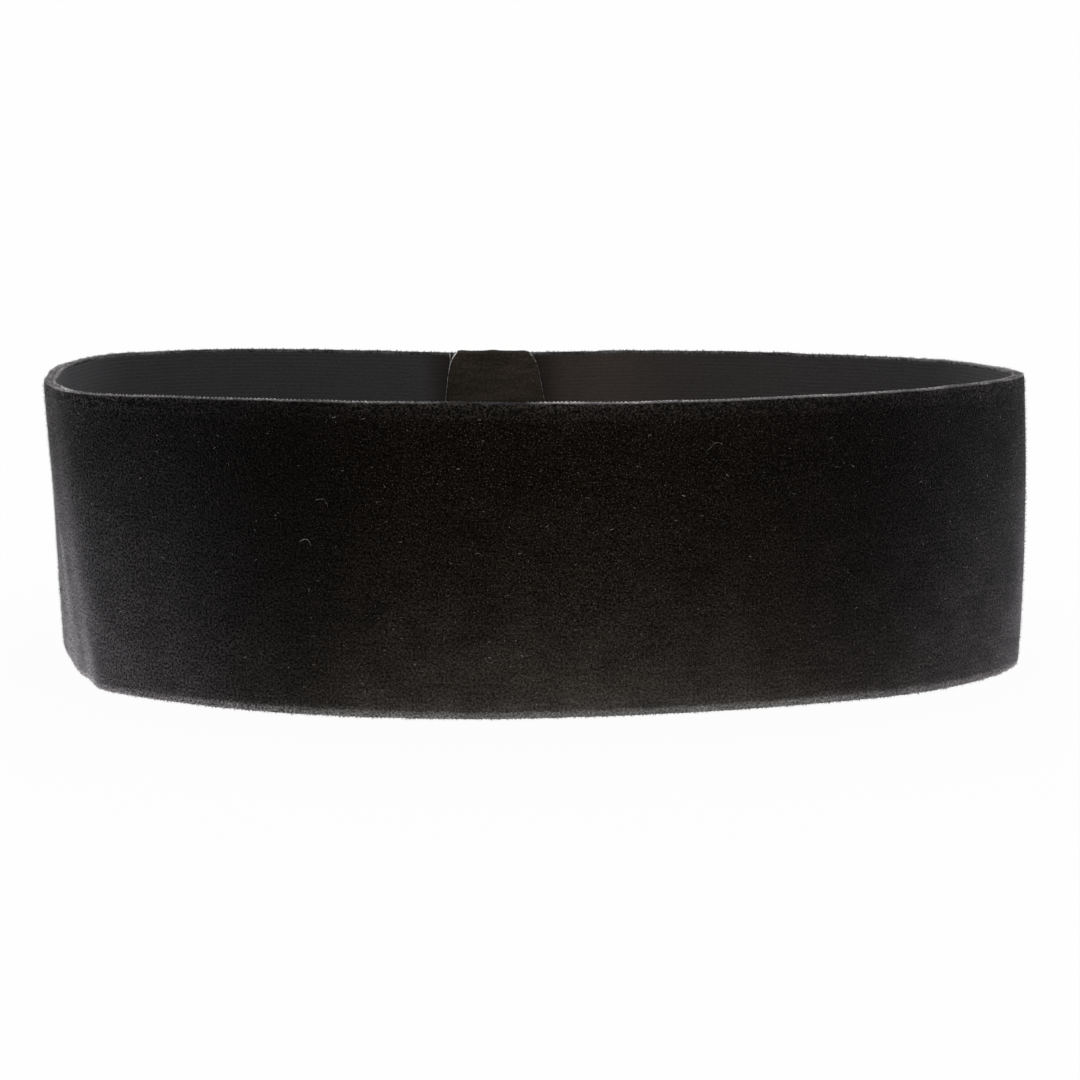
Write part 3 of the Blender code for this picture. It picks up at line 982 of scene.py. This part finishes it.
def wrap_folds(path, across):
    """Return how far the ribbon's middle surface stands out of its path at each point and place across."""
    height = path[:, :1]
    to_edge = np.abs(across)
    pulled = smooth_step(1 - np.minimum(height, HEIGHT - height) / GATHER_REACH)
    sway = PLEAT_SWAY * np.sin(PLEAT_SWAY_PACE * across)
    pleats = GATHER_DEPTH * np.sin(2 * np.pi * (PLEATS_PER_HALF * across + PLEAT_SHIFT) + sway)
    droop = DROOP * smooth_step((to_edge - DROOP_START) / (1 - DROOP_START))
    curl = CURL * smooth_step((to_edge - CURL_START) / (1 - CURL_START))
    ripple = bumps(WRAP_WIDTH_AT_MIDDLE / 2 * across + 0 * height, height, WRAP_RIPPLE)
    away = ((across - DENT_PLACE[0]) / DENT_SIZE[0]) ** 2 + ((height - DENT_PLACE[1]) / DENT_SIZE[1]) ** 2
    return pulled * (pleats - droop) + curl * (1 - pulled) + ripple - DENT_DEPTH * np.exp(-away)


def wrap_point(across, height, depth):
    """Return the cloth coordinates of a place across the ribbon, from -1 to 1."""
    distance = across * wrap_half_width(height) - wrap_lean(height)
    return np.stack(np.broadcast_arrays(distance, height, depth), axis=-1)


def wrap_ribbon(name, finish):
    path, normal = wrap_path()
    across = np.linspace(-1, 1, WRAP_COLUMNS)
    folds = wrap_folds(path, across)
    rounding = np.clip((np.abs(across) - WRAP_ROUNDED) / (1 - WRAP_ROUNDED), 0, 1)
    edge = np.maximum(np.sqrt(1 - rounding ** 2), WRAP_EDGE_LEFT)
    layers = []
    for side in (1, -1):
        lift = folds + side * WRAP_THICKNESS / 2 * edge
        height = path[:, :1] + normal[:, :1] * lift
        depth = path[:, 1:] + normal[:, 1:] * lift
        layers.append(wrap_point(across, height, depth)[:, ::side])
    cloth = np.concatenate(layers, axis=1)
    faces = tube_faces(*cloth.shape[:2])
    cloth = cloth.reshape(-1, 3)
    return add_mesh(name, strip.place(*cloth.T), faces, cloth, finish)


def wrap_edge_line(side):
    """Return the line of the ribbon's woven edge, on one side."""
    path, normal = wrap_path()
    lift = wrap_folds(path, np.array([side]))
    height, depth = (path + normal * lift).T
    return wrap_point(side, height, depth)


def frayed_edge():
    """Return the line of the strand that leaves the ribbon's edge below the top rim, on the inside."""
    share = np.linspace(0, 1, 12)
    heights = FRAY_HEIGHT + FRAY_RISE * share
    distances = wrap_half_width(FRAY_HEIGHT) - wrap_lean(FRAY_HEIGHT) + FRAY_DRIFT * share
    depths = STRIP_THICKNESS + FRAY_LIFT * (1 - share / 2)
    return np.stack([distances, heights, depths], axis=-1)


def seam_stitches():
    """Return the stitches that close the ribbon, each a line that dips into the cloth at its ends."""
    reach = wrap_half_width(WRAP_SEAM_HEIGHT) - STITCH_MARGIN
    places = np.linspace(-reach, reach, STITCH_LEGS + 1) - wrap_lean(WRAP_SEAM_HEIGHT)
    face = STRIP_THICKNESS + WRAP_CLEARANCE + WRAP_THICKNESS + STITCH_LIFT
    share = np.linspace(0, 1, 9)
    lines = []
    for leg in range(STITCH_LEGS):
        swing = STITCH_SWING if leg % 2 else -STITCH_SWING
        distances = places[leg] + share * (places[leg + 1] - places[leg])
        heights = WRAP_SEAM_HEIGHT + swing * (1 - 2 * share)
        depths = face + STITCH_ARCH * (np.sin(np.pi * share) - STITCH_DIP)
        lines.append(np.stack([distances, heights, depths], axis=-1))
    return lines


wrap = wrap_ribbon("wrap_ribbon", ribbon_velvet)
edge_lines = [wrap_edge_line(1), wrap_edge_line(-1), frayed_edge()]
wrap_edges = tubes("wrap_edges", edge_lines, WRAP_EDGE_RADIUS, STITCH_SIDES, ribbon_yarn)
stitches = tubes("wrap_stitches", seam_stitches(), STITCH_RADIUS, STITCH_SIDES, thread)
for piece, slot in ((wrap, "velvet"), (wrap_edges, "velvet"), (stitches, "thread")):
    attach(piece, "back")
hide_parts("join_wrap")
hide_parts("wrap_seam_thread")

for name in ("join_needle_thread", "join_bobbin_thread"):
    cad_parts[name].data.materials.clear()
    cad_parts[name].data.materials.append(thread)

# The stage

STAGE_WHITE = 0.991
PAPER_WHITE = 0.04
FLOOR_REACH = 4
FLOOR_DROP = 0.5 * MM

world = bpy.data.worlds.new("Studio")
world.use_nodes = True
world.node_tree.nodes["Background"].inputs["Color"].default_value = (STAGE_WHITE,) * 3 + (1,)
bpy.context.scene.world = world
bpy.context.scene.view_settings.view_transform = "Standard"

floor_mesh = bpy.data.meshes.new("floor")
corners = [(x * FLOOR_REACH, y * FLOOR_REACH, 0) for x, y in ((-1, -1), (1, -1), (1, 1), (-1, 1))]
floor_mesh.from_pydata(corners, [], [(0, 1, 2, 3)])
floor = bpy.data.objects.new("floor", floor_mesh)
floor.location.z = -FLOOR_DROP
bpy.context.scene.collection.objects.link(floor)
paper = bpy.data.materials.new("White paper")
paper.use_nodes = True
paper_shader = paper.node_tree.nodes["Principled BSDF"]
paper_shader.inputs["Base Color"].default_value = (PAPER_WHITE,) * 3 + (1,)
paper_shader.inputs["Roughness"].default_value = 1
paper_shader.inputs["Specular IOR Level"].default_value = 0
paper_shader.inputs["Emission Color"].default_value = (1, 1, 1, 1)
paper_shader.inputs["Emission Strength"].default_value = STAGE_WHITE * (1 - PAPER_WHITE)
floor_mesh.materials.append(paper)

# The camera

CAMERA_PLACE = (0.0014, -0.47238, 0.1109)
CAMERA_DIP = np.radians(10.29)

camera_data = bpy.data.cameras.new("Camera")
camera_data.sensor_width = 36
camera_data.lens = 76.82
camera = bpy.data.objects.new("Camera", camera_data)
camera.location = CAMERA_PLACE
camera.rotation_euler = (np.pi / 2 - CAMERA_DIP, 0, 0)
camera_data.clip_start = 0.01
bpy.context.scene.collection.objects.link(camera)
bpy.context.scene.camera = camera
